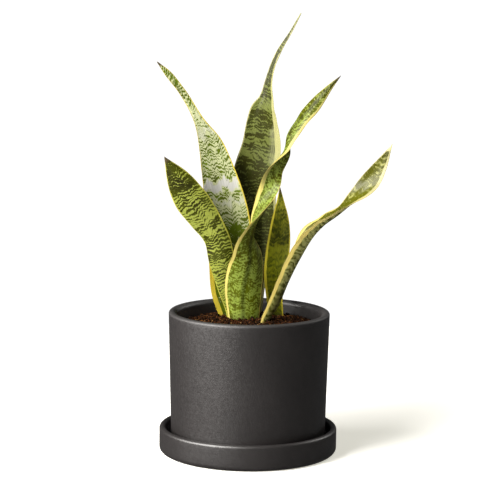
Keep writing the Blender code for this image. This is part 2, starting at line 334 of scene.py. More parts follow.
def mound(x, y):
    """Height of the heap above the soil line at the wall."""
    near = np.exp(-((x - PLANT_X) ** 2 + (y - PLANT_Y) ** 2) / (2 * MOUND_SPREAD**2))
    return MOUND_HEIGHT * (1 - np.minimum(1.0, (x * x + y * y) / bed_radius**2) ** 4) * near


def meshed(name, places, faces):
    """A new piece made of these points and faces."""
    mesh = bpy.data.meshes.new(name)
    mesh.from_pydata(places, [], faces)
    return in_scene(name, mesh)


def painted(piece, key, values):
    """Stores a value at each point of a piece, for its material to read."""
    spread = piece.data.attributes.new(key, "FLOAT", "POINT")
    spread.data.foreach_set("value", np.asarray(values, np.float32))


def soil_material(name, depth):
    """Damp potting mix: each crumb has its own brown, carried by the shade and warm attributes."""
    made, tree, shader = fresh_material(name)
    place = node(tree, "ShaderNodeTexCoord").outputs["Object"]
    shade = node(tree, "ShaderNodeAttribute", attribute_name="shade").outputs["Fac"]
    warm = node(tree, "ShaderNodeAttribute", attribute_name="warm").outputs["Fac"]
    grain = cloudy(tree, place, 900.0, 4.0, 0.7)
    tone = maths(tree, "MULTIPLY_ADD", grain, 0.5, shade)
    ramp = node(tree, "ShaderNodeValToRGB", {0: maths(tree, "MULTIPLY", tone, 1 / TONE_TOP)})
    while len(ramp.color_ramp.elements) < len(TONES):
        ramp.color_ramp.elements.new(0.5)
    for stop, (at, colour) in zip(ramp.color_ramp.elements, TONES):
        stop.position = at / TONE_TOP
        stop.color = (*colour, 1.0)
    brown = ramp.outputs["Color"]
    red = node(tree, "ShaderNodeVectorMath", {0: brown, 1: REDDER}, operation="MULTIPLY").outputs[0]
    rough = ranged(tree, grain, 0.3, 0.7, 0.62, 0.9)
    surfaced(tree, shader, blended(tree, warm, brown, red), rough, grain, 0.8, depth)
    shader.inputs["Specular IOR Level"].default_value = SOIL_SHINE
    return made


def scattered(name, places, corners, shade, warm, depth):
    """One mesh of many loose bits. Places holds every bit's points, and corners one bit's faces."""
    count, per = places.shape[:2]
    faces = [tuple(n * per + c for c in face) for n in range(count) for face in corners]
    piece = meshed(name, places.reshape(-1, 3).tolist(), faces)
    painted(piece, "shade", np.repeat(shade, per))
    painted(piece, "warm", np.repeat(warm, per))
    piece.data.materials.append(soil_material(name + "_skin", depth))
    return piece


def strewn(rng, count, reach):
    """Random places on the soil's top, and its height there."""
    angle = rng.uniform(0, 2 * math.pi, count)
    r = reach * np.sqrt(rng.uniform(0, 1, count))
    x, y = r * np.cos(angle), r * np.sin(angle)
    return x, y, SOIL_LEVEL + mound(x, y)


def turned(rng, shapes):
    """The shapes, each turned at random."""
    q = rng.normal(size=(len(shapes), 4))
    w, x, y, z = (q / np.linalg.norm(q, axis=1, keepdims=True)).T
    rows = [
        [1 - 2 * (y * y + z * z), 2 * (x * y - z * w), 2 * (x * z + y * w)],
        [2 * (x * y + z * w), 1 - 2 * (x * x + z * z), 2 * (y * z - x * w)],
        [2 * (x * z - y * w), 2 * (y * z + x * w), 1 - 2 * (x * x + y * y)],
    ]
    return np.einsum("ijk,klj->kli", np.array(rows), shapes)


def ball():
    """Points and faces of a rough unit ball."""
    shape = bmesh.new()
    bmesh.ops.create_icosphere(shape, subdivisions=1, radius=1.0)
    points = np.array([v.co[:] for v in shape.verts])
    corners = [tuple(v.index for v in face.verts) for face in shape.faces]
    shape.free()
    return points, corners


def crumbs(name, seed, count, sizes, flat, lift, shade, warm):
    """Loose crumbs of one kind, jagged and turned at random, half sunk in the bed.

    Sizes are in mm. Flat, lift, shade and warm are the least and most of each crumb's flatness, its
    height above the bed in sizes, its tone and its redness.
    """
    rng = np.random.default_rng(seed)
    points, corners = ball()
    x, y, z = strewn(rng, count, bed_radius - 2.2 * MM)
    size = rng.uniform(*sizes, count) * MM
    stretch = np.stack([np.ones(count), rng.uniform(0.5, 1.0, count), rng.uniform(*flat, count)], axis=1)
    jags = rng.uniform(0.72, 1.18, (count, len(points), 1))
    shapes = turned(rng, points[None] * (size[:, None] * stretch)[:, None] * jags)
    centres = np.stack([x, y, z + size * rng.uniform(*lift, count)], axis=1)
    tones = rng.uniform(*shade, count)
    return scattered(name, shapes + centres[:, None], corners, tones, rng.uniform(*warm, count), 0.3 * MM)


def ring_of(r, z):
    """The points of one of the bed's rings."""
    turns = [2 * math.pi * j / BED_STEPS for j in range(BED_STEPS)]
    return [(r * math.cos(a), r * math.sin(a), z) for a in turns]


def soil_bed():
    """The body of the mix: a lumpy top over smooth sides, closed underneath."""
    places, shade, warm = [(PLANT_X, PLANT_Y, SOIL_LEVEL + MOUND_HEIGHT)], [0.2], [0.5]
    for i in range(1, BED_RINGS + 1):
        share = i / BED_RINGS
        calm = min(1.0, (1 - share) * 30)
        for j in range(BED_STEPS):
            a = 2 * math.pi * j / BED_STEPS
            x = bed_radius * share * math.cos(a) + PLANT_X * (1 - share)
            y = bed_radius * share * math.sin(a) + PLANT_Y * (1 - share)
            spot = Vector((x, y, 0.0))
            lumps = noise.fractal(spot / LUMP_SIZE, 0.7, 2.1, 3)
            fine = noise.noise(spot / GRAIN_SIZE)
            z = SOIL_LEVEL + float(mound(x, y)) - BED_DROP + calm * (lumps * 1.1 * MM + fine * 0.5 * MM)
            places.append((x, y, z))
            shade.append(0.30 + 0.25 * lumps + 0.2 * fine)
            warm.append(0.5 + 0.5 * noise.noise(spot / PATCH_SIZE))
    rows = [1 + i * BED_STEPS for i in range(BED_RINGS + 2)]
    places += ring_of(bore_at(floor_top + 8 * MM) - SOIL_GAP, floor_top + 6 * MM)
    places += ring_of(floor_edge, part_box("soil")[0].z)
    shade += [0.25] * (2 * BED_STEPS)
    warm += [0.5] * (2 * BED_STEPS)
    nexts = [(j, (j + 1) % BED_STEPS) for j in range(BED_STEPS)]
    faces = [(0, 1 + j, 1 + k) for j, k in nexts]
    for upper, lower in zip(rows, rows[1:]):
        faces += [(upper + j, lower + j, lower + k, upper + k) for j, k in nexts]
    faces.append(tuple(rows[-1] + j for j in reversed(range(BED_STEPS))))
    piece = meshed("potting_mix", places, faces)
    piece.data.shade_smooth()
    painted(piece, "shade", shade)
    painted(piece, "warm", warm)
    piece.data.materials.append(soil_material("potting_mix_skin", 0.4 * MM))
    return piece


def tube_faces(rings, count):
    """The side faces of a tube of this many rings, each of this many points."""
    faces = []
    for a in range(0, (rings - 1) * count, count):
        b = a + count
        faces += [(a + j, a + (j + 1) % count, b + (j + 1) % count, b + j) for j in range(count)]
    return faces


def coir_fibres(count, seed):
    """Short curled strands of coconut fibre, each a thin three-sided tube."""
    rng = np.random.default_rng(seed)
    x, y, _ = strewn(rng, count, bed_radius - 3 * MM)
    t = np.linspace(-0.5, 0.5, FIBRE_STEPS)[None]
    length = rng.uniform(3, 11, count)[:, None] * MM
    heading = rng.uniform(0, 2 * math.pi, count)[:, None] + t * rng.uniform(-2.6, 2.6, count)[:, None]
    px = x[:, None] + np.cumsum(np.cos(heading), axis=1) * length / FIBRE_STEPS
    py = y[:, None] + np.cumsum(np.sin(heading), axis=1) * length / FIBRE_STEPS
    pull = np.minimum(1.0, (bed_radius - MM) / np.sqrt(px * px + py * py))
    px, py = px * pull, py * pull
    arch = (1 - 4 * t * t) * rng.uniform(0.1, 1.6, count)[:, None] * MM
    pz = SOIL_LEVEL + mound(px, py) + arch - 0.1 * MM
    girth = rng.uniform(0.09, 0.2, count)[:, None, None] * MM
    turns = 2 * math.pi * np.arange(3) / 3
    ring_x = -np.sin(heading)[..., None] * np.cos(turns) * girth
    ring_y = np.cos(heading)[..., None] * np.cos(turns) * girth
    ring_z = np.broadcast_to(np.sin(turns) * girth, ring_x.shape)
    places = np.stack([px[..., None] + ring_x, py[..., None] + ring_y, pz[..., None] + ring_z], axis=-1)
    end = 3 * FIBRE_STEPS
    corners = tube_faces(FIBRE_STEPS, 3) + [(2, 1, 0), (end - 3, end - 2, end - 1)]
    tones = rng.uniform(0.35, 0.95, count)
    warm = rng.uniform(0.3, 1.0, count)
    return scattered("coir_fibres", places.reshape(count, end, 3), corners, tones, warm, 0.1 * MM)


soil_pieces = [
    soil_bed(),
    crumbs("bark_chips", 21, 420, (1.0, 2.3), (0.25, 0.5), (-0.1, 0.3), (0.15, 0.6), (0.2, 1.0)),
    crumbs("fine_crumbs", 22, 3400, (0.35, 0.95), (0.5, 1.0), (-0.3, 0.5), (0.05, 0.75), (0.0, 1.0)),
    crumbs("pumice_grains", 23, 70, (0.4, 0.8), (0.7, 1.0), (0.0, 0.5), (0.9, 1.2), (0.0, 0.3)),
    coir_fibres(520, 24),
]
for piece in soil_pieces:
    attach(piece, "root")
    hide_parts("soil")


# ---- Rhizome: the thick creeping stem under the soil that every leaf grows from, ringed with old scars.
# It lies curled in its hollow in the mix, pale inside a thin tan skin.
RHIZOME_RADIUS = 7.5 * MM
RHIZOME_CURL = 16.5 * MM
RHIZOME_START = -62.0
RHIZOME_SWEEP = -272.0
RHIZOME_BUD = 6 * MM
RHIZOME_STEPS = 220
RHIZOME_ROUND = 40
SCAR_PITCH = 5.0 * MM
TAN_DARK = (0.22, 0.12, 0.04)
TAN_LIGHT = (0.62, 0.44, 0.20)


def rhizome_piece():
    """A curled stem inside its CAD solid, with shallow grooves at its scars and a blunt bud at each end."""
    low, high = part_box("rhizome")
    height = (low.z + high.z) / 2
    centre_x = (low.x + high.x) / 2
    centre_y = (low.y + high.y) / 2
    places = []
    sweep = math.radians(RHIZOME_SWEEP)
    length = abs(sweep) * RHIZOME_CURL
    for i in range(RHIZOME_STEPS + 1):
        share = i / RHIZOME_STEPS
        a = math.radians(RHIZOME_START) + sweep * share
        run = share * length
        short = max(0.0, 1 - min(run, length - run) / RHIZOME_BUD)
        groove = 0.93 + 0.05 * abs(math.sin(math.pi * run / SCAR_PITCH)) ** 0.5
        radius = max(0.2 * MM, RHIZOME_RADIUS * math.sqrt(max(0.0, 1 - short**2)) * groove)
        for j in range(RHIZOME_ROUND):
            b = 2 * math.pi * j / RHIZOME_ROUND
            reach = RHIZOME_CURL + radius * math.cos(b)
            x, y = centre_x + reach * math.cos(a), centre_y + reach * math.sin(a)
            places.append((x, y, height + radius * math.sin(b)))
    faces = tube_faces(RHIZOME_STEPS + 1, RHIZOME_ROUND)
    faces.append(tuple(reversed(range(RHIZOME_ROUND))))
    faces.append(tuple(RHIZOME_STEPS * RHIZOME_ROUND + j for j in range(RHIZOME_ROUND)))
    piece = meshed("rhizome_stem", places, faces)
    piece.data.shade_smooth()
    return piece


def rhizome_skin():
    """Papery tan skin, darker and rougher in patches, with fine wrinkles."""
    made, tree, shader = fresh_material("rhizome_skin")
    place = node(tree, "ShaderNodeTexCoord").outputs["Object"]
    patches = cloudy(tree, place, 160.0, 5.0, 0.6)
    wrinkles = cloudy(tree, place, 700.0, 3.0)
    rough = ranged(tree, patches, 0.3, 0.7, 0.5, 0.75)
    surfaced(tree, shader, blended(tree, patches, TAN_DARK, TAN_LIGHT), rough, wrinkles, 0.5, 0.3 * MM)
    return made


rhizome = rhizome_piece()
rhizome.data.materials.append(rhizome_skin())
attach(rhizome, "root")
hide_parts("rhizome")


# ---- Leaves: stiff, fleshy blades that grow from the buried stem, channelled and twisted as they rise.
# Each has a dark green skin with wavy paler cross bands, a cream edge and a hard awl-like tip.
LEAF_BOTTOM = SOIL_LEVEL - 13 * MM
LEAF_FLESH = 3.6 * MM
TIP_SHARE = 0.25
BURIED_SHARE = 0.85
LEAF_STEPS = 280
LEAF_ACROSS = 36
NARROWEST = 0.25 * MM
AWL = 1.2 * MM
WAVY_EDGE = 0.45 * MM
FLUTING = 0.05 * MM
ZIGZAGS = ((13.0, 2.6), (7.0, 1.8), (3.6, 1.1), (2.3, 0.6))
INNER_SHIFT = 200.0
WIDE_STRIPE = 4.8


def spline(stations, count):
    """Stations read evenly along a smooth curve through all of them."""
    rows = np.array(stations, float)
    gaps = np.linalg.norm(np.diff(rows[:, :3], axis=0), axis=1)
    places = np.concatenate([[0.0], np.cumsum(gaps)])
    rises = np.diff(rows, axis=0) / gaps[:, None]
    slopes = np.empty_like(rows)
    slopes[0], slopes[-1] = rises[0], rises[-1]
    before, after = gaps[:-1, None], gaps[1:, None]
    slopes[1:-1] = (rises[:-1] * after + rises[1:] * before) / (before + after)
    at = np.linspace(0.0, places[-1], count)
    i = np.clip(np.searchsorted(places, at, side="right") - 1, 0, len(gaps) - 1)
    span = gaps[i][:, None]
    u = (at - places[i])[:, None] / span
    ends = (2 * u**3 - 3 * u**2 + 1) * rows[i] + (3 * u**2 - 2 * u**3) * rows[i + 1]
    return at, ends + span * ((u**3 - 2 * u**2 + u) * slopes[i] + (u**3 - u**2) * slopes[i + 1])


def unit(vectors):
    """Each vector at length one."""
    return vectors / np.maximum(np.linalg.norm(vectors, axis=-1, keepdims=True), 1e-12)


def waves(at, rng, low, high, terms):
    """A smooth random wave about 0, made of sines between two wavelengths, as a column."""
    total = np.zeros_like(at)
    for _ in range(terms):
        total += np.sin(at * 2 * math.pi / rng.uniform(low, high) + rng.uniform(0, 2 * math.pi))
    return (total / terms)[:, None]


def jagged(rng, across, height):
    """Zigzag shifts, in mm, that make a leaf's cross bands ragged. They change slowly along the leaf."""
    total = np.zeros(across.shape)
    for width, size in ZIGZAGS:
        sway = waves(height, rng, 40, 110, 3) * 2.5
        place = across / width + rng.uniform(0, 1) + sway
        total += size * (4 * np.abs(place - np.floor(place) - 0.5) - 1)
    return total


def around(outer, inner):
    """One value a point, in the order of a leaf's points: outer face, inner face back again, tip."""
    both = np.concatenate([outer, inner[:, -2:0:-1]], axis=1)
    return np.append(both.reshape(-1), outer[-1, 0])


def leaf(name, rows, marks, seed, ragged=1.0):
    """One leaf as a closed skin.

    A row is x, y, height above the soil, half width (mm), turn (degrees) and fold. A mark is a
    height, the paleness of the outer and inner face there (0 dark, 1 pale), and the width of the
    cream edge at either side.
    """
    rng = np.random.default_rng(seed)
    stations = [(x * MM, y * MM, SOIL_LEVEL + z * MM, half * MM, *bend) for x, y, z, half, *bend in rows]
    x, y, _, half, *bend = stations[0]
    stations.insert(0, (x, y, LEAF_BOTTOM, half * BURIED_SHARE, *bend))
    along, read = spline(stations, LEAF_STEPS)
    middle, half, fold = read[:, :3], np.maximum(read[:, 3], NARROWEST)[:, None], read[:, 5][:, None]
    turn = np.radians(read[:, 4])[:, None]
    tangent = unit(np.gradient(middle, axis=0))
    side = np.array([1.0, 0.0, 0.0])
    side = unit(side - tangent * (tangent @ side)[:, None])
    width = side * np.cos(turn) + np.cross(tangent, side) * np.sin(turn)
    keel = np.cross(tangent, width)

    v = -np.cos(np.pi * np.arange(LEAF_ACROSS + 1) / LEAF_ACROSS)
    up = np.linspace(0.0, 1.0, LEAF_STEPS)[:, None]
    calm = np.minimum(1.0, (1 - up) * 6)
    left_wave = waves(along, rng, 14 * MM, 40 * MM, 5) * (v < 0) * v**4
    right_wave = waves(along, rng, 14 * MM, 40 * MM, 5) * (v > 0) * v**4
    ripple = (left_wave + right_wave) * WAVY_EDGE * calm
    for start in (0.0, 1.3, 2.9):
        flutes = v * rng.uniform(5, 11) + start + 3 * waves(along, rng, 60 * MM, 160 * MM, 3)
        ripple = ripple + np.sin(flutes) * FLUTING * calm
    dip = fold * half * (1 - v**2) - ripple
    sheet = middle[:, None] + width[:, None] * (half * v)[..., None] - keel[:, None] * dip[..., None]
    normal = unit(np.cross(np.gradient(sheet, axis=0), np.gradient(sheet, v, axis=1)))
    plump = (0.3 + 0.7 * (1 - v**2)) * np.sqrt(np.maximum(0, 1 - v**8))
    thick = LEAF_FLESH * (1 - (1 - TIP_SHARE) * up) * plump
    shift = normal * np.minimum(thick, 1.3 * half)[..., None] / 2
    ring = np.concatenate([sheet - shift, (sheet + shift)[:, -2:0:-1]], axis=1)
    count = ring.shape[1]
    places = np.vstack([ring.reshape(-1, 3), middle[-1] + tangent[-1] * AWL])
    faces = tube_faces(LEAF_STEPS, count)
    last = (LEAF_STEPS - 1) * count
    faces += [(last + j, last + (j + 1) % count, len(places) - 1) for j in range(count)]
    for j in range(LEAF_ACROSS):
        faces.append(tuple(dict.fromkeys((j, (count - j) % count, count - j - 1, j + 1))))
    piece = meshed(name, places.tolist(), faces)
    piece.data.validate()
    piece.data.shade_smooth()

    table = np.array(marks, float)
    height = (middle[:, 2] - SOIL_LEVEL) / MM
    left, right = (np.interp(height, table[:, 0], table[:, k])[:, None] for k in (3, 4))
    off_middle = half / MM * v
    zigzag = height[:, None] + ragged * jagged(rng, off_middle, height)
    outer_tone, inner_tone = (np.interp(zigzag, table[:, 0], table[:, k]) for k in (1, 2))
    rim = half / MM * (1 - np.abs(v))
    stripe = np.where(v < 0, left, right)
    run = np.repeat(along[:, None] / MM, len(v), axis=1)
    to_tip = np.repeat((along[-1] - along)[:, None] / MM, len(v), axis=1)
    # Beside is the distance from a wide cream edge, where the skin paints a gloss highlight as a pale strip.
    beside = np.where(v > 0, rim - stripe + 6 * np.maximum(0.0, WIDE_STRIPE - stripe), 20.0)
    painted(piece, "across", around(off_middle, off_middle + INNER_SHIFT))
    painted(piece, "tone", around(outer_tone, inner_tone))
    same = {"along": run, "edge": rim - stripe, "rim": rim, "tip": to_tip, "beside": beside}
    for key, values in same.items():
        painted(piece, key, around(values, values))
    return piece


def mottled(tree, x, x_scale, y, y_scale, seed, detail=0.0):
    """Soft random patches over a leaf's own width and length, in mm."""
    parts = {0: maths(tree, "MULTIPLY", x, x_scale), 1: maths(tree, "MULTIPLY", y, y_scale), 2: seed}
    return cloudy(tree, node(tree, "ShaderNodeCombineXYZ", parts).outputs[0], 1.0, detail)


def cross_bands():
    """A shader group: the zigzag cross bands of a snake plant's leaf, as masks of its pale parts."""
    sizes = ("Across", "Along", "Tone", "Seed", "Pitch", "Jag", "Broken", "Soft", "Lines")
    inputs = {name: "NodeSocketFloat" for name in sizes}
    outputs = {name: "NodeSocketFloat" for name in ("Pale", "Streak", "Cloud")}
    group, enter, leave = shader_group("cross_bands", inputs, outputs)
    across, along = enter["Across"], enter["Along"]

    def patches(x_scale, y, y_scale, detail=0.0):
        return mottled(group, across, x_scale, y, y_scale, enter["Seed"], detail)

    def centred(value, by):
        return maths(group, "MULTIPLY", maths(group, "SUBTRACT", value, 0.5), by)

    chevron = centred(patches(0.13, along, 0.02), 22.0)
    teeth = centred(patches(0.45, along, 0.06), 9.0)
    nicks = centred(patches(1.5, along, 0.25, 1.0), 2.4)
    jag = maths(group, "ADD", maths(group, "ADD", chevron, teeth), nicks)
    moved = maths(group, "MULTIPLY_ADD", jag, enter["Jag"], along)
    drift = centred(patches(0.1, moved, 0.14, 1.0), 16.0)
    turns = maths(group, "DIVIDE", maths(group, "MULTIPLY", moved, 2 * math.pi), enter["Pitch"])
    line = maths(group, "SINE", maths(group, "ADD", turns, drift))
    dashes = centred(patches(0.75, moved, 0.5, 1.0), 2.6)
    islands = centred(patches(0.16, moved, 0.16, 1.0), 1.6)
    lined = maths(group, "MULTIPLY_ADD", line, enter["Lines"], islands)
    whole = maths(group, "MULTIPLY_ADD", dashes, enter["Broken"], lined)
    limit = maths(group, "MULTIPLY_ADD", enter["Tone"], -2.0, 1.0)
    low = maths(group, "SUBTRACT", limit, enter["Soft"])
    high = maths(group, "ADD", limit, enter["Soft"])
    group.links.new(ranged(group, whole, low, high, smooth=True), leave["Pale"])
    group.links.new(patches(2.4, along, 0.05, 2.0), leave["Streak"])
    group.links.new(patches(0.1, along, 0.06, 2.0), leave["Cloud"])
    return group


CROSS_BANDS = cross_bands()
DRY_TIP = (0.06, 0.045, 0.02)
OLD_EDGE = (1.8, 1.55, 0.9)
RIM_LINE = (0.72, 0.60, 0.35)
LEAF_SHINE = 0.18
COAT_ROUGHNESS = 0.22
TIP_YELLOWS = (60.0, 20.0)
TIP_DRIES = (6.0, 1.5)
EDGE_AGES = (160.0, 100.0)
FOOT_SHADE = (14.0, 23.0)
RIM_FADES = (0.5, 0.1)
PAINTED_GLOSS_FADES = (7.0, 2.0)
RIB_FADES = (0.6, 2.6)
WHITE_TONES = (0.72, 0.95)


def leaf_skin(
    name,
    dark,
    deep,
    pale,
    frost,
    edge,
    young,
    gold=0.0,
    gloss=0.38,
    coat=0.0,
    rib=0.0,
    beside=0.0,
    dry_tip=DRY_TIP,
    **bands,
):
    """The waxy skin of one leaf: dark and pale cross bands, cream edges, a golden rim and a dry tip.

    Dark and deep are the ground's two greens, pale and frost the bands' two. Young yellows the tip,
    gold the lower edges, rib darkens the middle line and beside paints a gloss highlight, a pale
    strip along a wide cream edge. Bands holds seed, pitch (mm), jag, broken, soft and lines: how the
    cross bands run.
    """
    made, tree, shader = fresh_material(name)
    keys = ("across", "along", "edge", "rim", "tip", "tone", "beside")
    read = {key: node(tree, "ShaderNodeAttribute", attribute_name=key).outputs["Fac"] for key in keys}
    pattern = node(tree, "ShaderNodeGroup", node_tree=CROSS_BANDS)
    for key in ("across", "along", "tone"):
        tree.links.new(read[key], pattern.inputs[key.capitalize()])
    for key, value in bands.items():
        pattern.inputs[key.capitalize()].default_value = value
    streak = pattern.outputs["Streak"]
    ground = blended(tree, ranged(tree, pattern.outputs["Cloud"], 0.35, 0.65), deep, dark)
    frosted = blended(tree, ranged(tree, read["tone"], *WHITE_TONES), pale, frost)
    light = blended(tree, ranged(tree, read["tip"], *TIP_YELLOWS, 0.0, young), frosted, edge)
    green = blended(tree, pattern.outputs["Pale"], ground, light)
    # Painted highlight: a pale gloss streak along a wide cream edge, broken up by the leaf's streaks.
    near = ranged(tree, read["beside"], *PAINTED_GLOSS_FADES, 0.0, beside, smooth=True)
    painted_gloss_streak = maths(tree, "MULTIPLY", near, ranged(tree, streak, 0.35, 0.6, 0.35, 1.0))
    veins = ranged(tree, streak, 0.3, 0.7, 0.84, 1.16)
    middle = ranged(tree, maths(tree, "ABSOLUTE", read["across"]), *RIB_FADES, 1 - rib, 1.0)
    # Painted shade: the leaf's colour darkens towards its foot, down to 0.4 of itself just above the soil.
    painted_foot_shade = ranged(tree, read["along"], *FOOT_SHADE, 0.4, 1.0)
    shaded = maths(tree, "MULTIPLY", maths(tree, "MULTIPLY", veins, middle), painted_foot_shade)
    veined = scaled(tree, blended(tree, painted_gloss_streak, green, frost), shaded)
    wobble = mottled(tree, read["along"], 0.16, read["across"], 0.02, bands["seed"], 4.0)
    shifted = maths(tree, "MULTIPLY_ADD", maths(tree, "SUBTRACT", wobble, 0.5), 1.6, read["edge"])
    stripe = ranged(tree, shifted, 0.25, -0.25, smooth=True)
    older = ranged(tree, read["along"], *EDGE_AGES, 0.0, gold)
    aged = blended(tree, older, edge, tuple(part * share for part, share in zip(edge, OLD_EDGE)))
    edged = blended(tree, stripe, veined, scaled(tree, aged, veins))
    golden = tuple(part * share for part, share in zip(edge, RIM_LINE))
    rimmed = blended(tree, ranged(tree, read["rim"], *RIM_FADES, 0.0, 0.6), edged, golden)
    tipped = blended(tree, ranged(tree, read["tip"], *TIP_DRIES, smooth=True), rimmed, dry_tip)
    rough = ranged(tree, wobble, 0.3, 0.7, gloss - 0.05, gloss + 0.07)
    surfaced(tree, shader, tipped, rough, streak, 0.35, 0.12 * MM)
    shader.inputs["Specular IOR Level"].default_value = LEAF_SHINE
    shader.inputs["Coat Weight"].default_value = coat
    shader.inputs["Coat Roughness"].default_value = COAT_ROUGHNESS
    return made


def planted(piece, skin, cad_node):
    """Gives a leaf its skin and puts it in the place of its CAD blade."""
    piece.data.materials.append(skin)
    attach(piece, "root")
    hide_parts(cad_node)


# ---- Front leaf: a fleshy blade with the broadest base, which turns right round on its way up.
# It grows from the curled stem between the right and left leaves, and ends in a pale, narrow blade.
FRONT_ROWS = [
    (-4.5, 9, 3, 12.5, -5, 0.32),
    (-5, 8, 28.5, 15, 0, 0.33),
    (-3, 5, 52.5, 14.5, 26, 0.36),
    (-4, 2, 70, 12, 58, 0.38),
    (0, 0, 84, 10.5, 88, 0.4),
    (8, -2, 99, 9, 121, 0.4),
    (14.5, -3, 111.5, 8, 163, 0.4),
    (19.5, -4, 125, 8, 218, 0.4),
    (29.8, -4, 140, 8.5, 257, 0.4),
    (32.5, -4, 152.5, 8.6, 293, 0.36),
    (39.5, -3, 164.5, 7.6, 305, 0.3),
    (50, -2, 178, 6, 329, 0.25),
    (62, 0, 192.5, 2.4, 346, 0.2),
    (70, 1, 201, 0.3, 354, 0.1),
]
FRONT_MARKS = [
    (0, 0.5, 0.5, 2.0, 0.7),
    (6, 0.52, 0.5, 2.1, 0.8),
    (24, 0.5, 0.5, 2.2, 0.8),
    (45, 0.46, 0.5, 2.3, 0.8),
    (64, 0.38, 0.6, 2.2, 1.0),
    (80, 0.32, 0.52, 1.8, 2.0),
    (92, 0.4, 0.52, 0.5, 2.8),
    (110, 0.4, 0.5, 0.3, 3.0),
    (125, 0.4, 0.48, 0.3, 3.0),
    (140, 0.4, 0.4, 0.3, 2.6),
    (150, 0.35, 0.35, 0.4, 2.4),
    (155, 0.48, 0.5, 0.5, 2.0),
    (163, 0.5, 0.5, 0.5, 1.8),
    (170, 0.34, 0.6, 0.5, 1.8),
    (182, 0.42, 0.6, 0.5, 1.3),
    (194, 0.4, 0.5, 0.4, 0.6),
    (201, 0.2, 0.2, 0.1, 0.1),
]
front = leaf("front_leaf", FRONT_ROWS, FRONT_MARKS, 11, ragged=0.5)
front_skin = leaf_skin(
    "front_skin",
    dark=(0.0628, 0.0775, 0.0005),
    deep=(0.0475, 0.0490, 0.0004),
    pale=(0.1585, 0.2080, 0.0312),
    frost=(0.2356, 0.2614, 0.1030),
    seed=1.7,
    pitch=2.6,
    jag=0.35,
    broken=0.95,
    soft=0.3,
    rib=0.5,
    lines=0.26,
    young=0.25,
    edge=(0.34, 0.305, 0.095),
    gold=0.25,
)
planted(front, front_skin, "leaf_front")


# ---- Left leaf: a short, broad blade, leaning left with its outer face to the front, dark at the tip.
# It is next along the stem from the front leaf, and clears it by under a millimetre.
LEFT_ROWS = [
    (-9.5, 16, 6, 9, 0, 0.26),
    (-16, 13, 28.5, 10, 0, 0.25),
    (-22.5, 10, 50.5, 10.8, -5, 0.23),
    (-26.5, 8, 68, 11, -14, 0.21),
    (-36.5, 5, 85, 13, -9, 0.18),
    (-48.5, 2, 102, 13.8, -6, 0.16),
    (-58.3, -1, 118.5, 9.4, 0, 0.14),
    (-68.6, -3, 135, 0.6, 4, 0.12),
]
LEFT_MARKS = [
    (0, 0.56, 0.5, 1.0, 1.2),
    (28, 0.56, 0.5, 0.8, 1.2),
    (45, 0.55, 0.5, 0.5, 1.0),
    (51, 0.48, 0.5, 0.4, 0.8),
    (54, 0.28, 0.5, 0.4, 0.8),
    (60, 0.3, 0.5, 0.4, 0.8),
    (66, 0.4, 0.5, 0.5, 0.8),
    (73, 0.28, 0.5, 0.6, 0.9),
    (74.5, 0.75, 0.5, 0.8, 1.0),
    (77, 0.75, 0.5, 0.9, 1.0),
    (79, 0.35, 0.5, 0.9, 1.0),
    (82, 0.35, 0.5, 0.9, 1.0),
    (84, 0.75, 0.5, 0.9, 1.0),
    (87, 0.7, 0.5, 0.9, 1.0),
    (89, 0.5, 0.5, 0.9, 0.9),
    (107, 0.46, 0.5, 0.8, 0.7),
    (111, 0.18, 0.5, 0.7, 0.6),
    (119, 0.3, 0.5, 0.6, 0.6),
    (126, 0.2, 0.5, 0.6, 0.6),
    (130, 0.14, 0.5, 0.5, 0.5),
    (135, 0.1, 0.5, 0.3, 0.3),
]
left = leaf("left_leaf", LEFT_ROWS, LEFT_MARKS, 12, ragged=0.5)
left_skin = leaf_skin(
    "left_skin",
    dark=(0.0358, 0.0410, 0.0003),
    deep=(0.0152, 0.0153, 0.0002),
    pale=(0.1843, 0.2109, 0.0311),
    frost=(0.2376, 0.2583, 0.0660),
    edge=(0.2904, 0.2838, 0.0396),
    seed=5.2,
    pitch=2.6,
    jag=0.36,
    broken=0.5,
    soft=0.25,
    lines=0.5,
    young=0.0,
)
planted(left, left_skin, "leaf_left")


